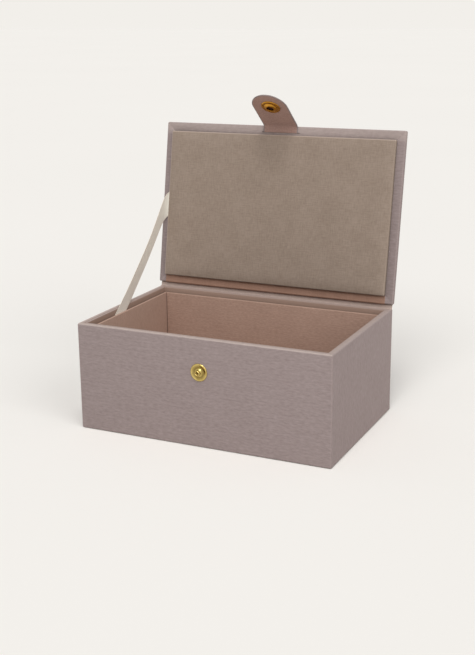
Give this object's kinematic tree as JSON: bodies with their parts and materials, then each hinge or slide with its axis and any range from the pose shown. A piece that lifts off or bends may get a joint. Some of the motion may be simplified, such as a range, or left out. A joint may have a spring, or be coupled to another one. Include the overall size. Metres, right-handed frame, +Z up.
{
  "type": "hinged storage box",
  "caption": "Velvet-wrapped card box with a padded lid on a cloth hinge, a press-stud strap at the front and a ribbon stay that holds the lid open.",
  "frame": {"origin": "middle of the underside, on the surface that the box stands on", "axes": "+Z up, -Y towards the front with the stud, +X to the right seen from the front"},
  "size_m": [0.1818, 0.1412, 0.2171],
  "materials": {
    "greyboard": "plain dense card, matte",
    "velvet": "short-pile taupe velvet",
    "underside_cover": "matte cloth-covered card",
    "lining_suede": "flat brushed lining over card",
    "stud_brass": "bright plated brass",
    "socket_brass": "darker antique brass",
    "rivet_steel": "plated steel",
    "spring_steel": "spring wire",
    "hinge_lining_cloth": "matte brown cloth",
    "satin_ribbon": "satin weave, soft sheen",
    "foam": "thin open foam sheet",
    "pad_fabric": "fine plain weave, matte",
    "strap_lining": "darker brushed cloth"
  },
  "bodies": {
    "base": {"bottom_board": "greyboard", "front_board": "greyboard", "back_board": "greyboard", "left_board": "greyboard", "right_board": "greyboard", "base_wrap": "velvet", "bottom_cover": "underside_cover", "liner_front": "lining_suede", "liner_back": "lining_suede", "liner_left": "lining_suede", "liner_right": "lining_suede", "floor_panel": "lining_suede", "snap_stud": "stud_brass", "stud_rivet": "rivet_steel", "hinge_cloth": "velvet", "ribbon_stay": "satin_ribbon"},
    "lid": {"lid_board": "greyboard", "lid_wrap": "velvet", "pad_board": "greyboard", "pad_foam": "foam", "pad_cover": "pad_fabric", "tab_anchor": "strap_lining", "hinge_lining": "hinge_lining_cloth"},
    "tab": {"tab_core": "greyboard", "tab_cover": "velvet", "tab_lining": "strap_lining", "snap_socket": "socket_brass", "snap_spring": "spring_steel", "snap_cap": "socket_brass"}
  },
  "joints": [
    {"name": "lid_hinge", "type": "hinge", "parent": "base", "child": "lid", "pos_m": [0, 0.0582, 0.0769], "axis": [1, 0, 0], "range_deg": [0, 99.8], "deforming": ["ribbon_stay", "hinge_cloth"]},
    {"name": "tab_hinge", "type": "hinge", "parent": "lid", "child": "tab", "pos_m": [0, 0.07611, 0.19528], "axis": [1, 0, 0], "range_deg": [-110, 21.9]}
  ]
}
